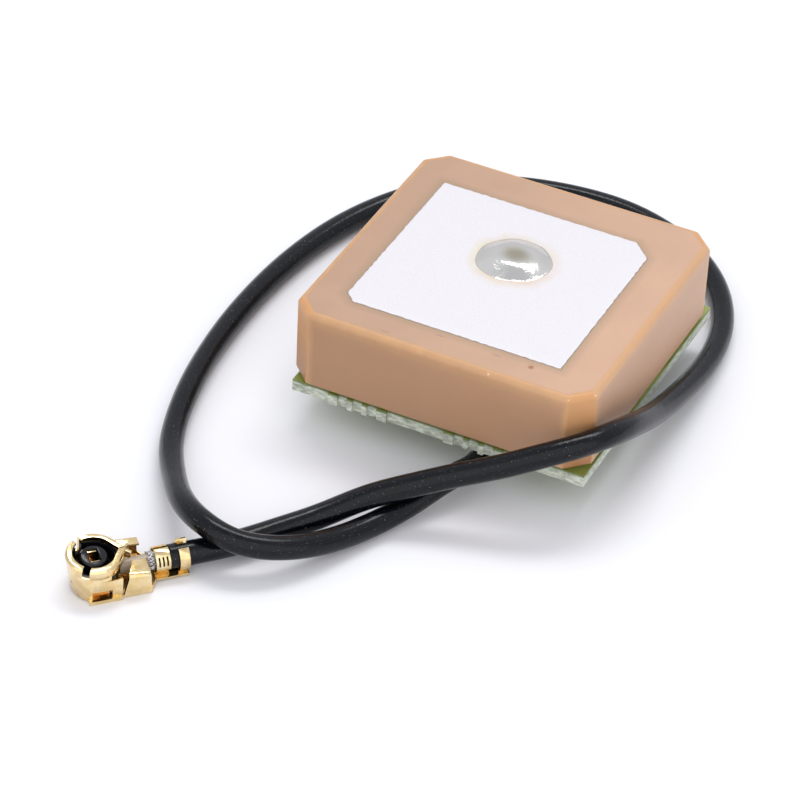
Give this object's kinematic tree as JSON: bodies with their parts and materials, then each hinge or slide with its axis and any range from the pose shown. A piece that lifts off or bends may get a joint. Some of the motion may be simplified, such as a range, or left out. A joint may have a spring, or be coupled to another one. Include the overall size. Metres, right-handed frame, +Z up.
{
  "type": "gps antenna module",
  "caption": "Square ceramic patch antenna on a small amplifier board with a shield can below, and a short thin coaxial lead that ends in a gold-plated micro coaxial plug.",
  "frame": {"origin": "middle of the ceramic block in plan, at the height of the shield can's face that the module stands on", "axes": "+Z up through the ceramic block towards the top electrode; -Y towards the edge that the lead leaves"},
  "size_m": [0.0226, 0.0392, 0.007],
  "materials": {
    "ceramic": "satin",
    "fired_silver": "matte",
    "solder": "glossy",
    "tinned_metal": "satin",
    "tape": "matte",
    "board": "glossy",
    "tinplate": "satin",
    "package_ceramic": "satin",
    "chip_plastic": "matte",
    "choke_ceramic": "satin",
    "capacitor_ceramic": "satin",
    "resistor_body": "satin",
    "core_plastic": "satin",
    "copper_wire": "satin",
    "jacket": "satin",
    "gold_plate": "polished",
    "insulator": "glossy"
  },
  "bodies": {
    "root": {"ceramic_block": "ceramic", "top_electrode": "fired_silver", "ground_electrode": "fired_silver", "feed_pin": "tinned_metal", "feed_solder": "solder", "pin_solder": "solder", "mounting_tape": "tape", "circuit_board": "board", "shield_can": "tinplate", "can_solder": "solder", "band_filter": "package_ceramic", "amplifier_chip": "chip_plastic", "supply_choke": "choke_ceramic", "chip_capacitors": "capacitor_ceramic", "chip_resistors": "resistor_body", "lead_braid": "tinned_metal", "lead_core": "core_plastic", "lead_wire": "copper_wire", "braid_solder": "solder", "wire_solder": "solder", "coax_lead": "jacket", "plug_shell": "gold_plate", "plug_insulator": "insulator", "plug_contact": "gold_plate", "plug_braid": "tinned_metal", "plug_core": "core_plastic", "plug_wire": "copper_wire"}
  },
  "joints": []
}
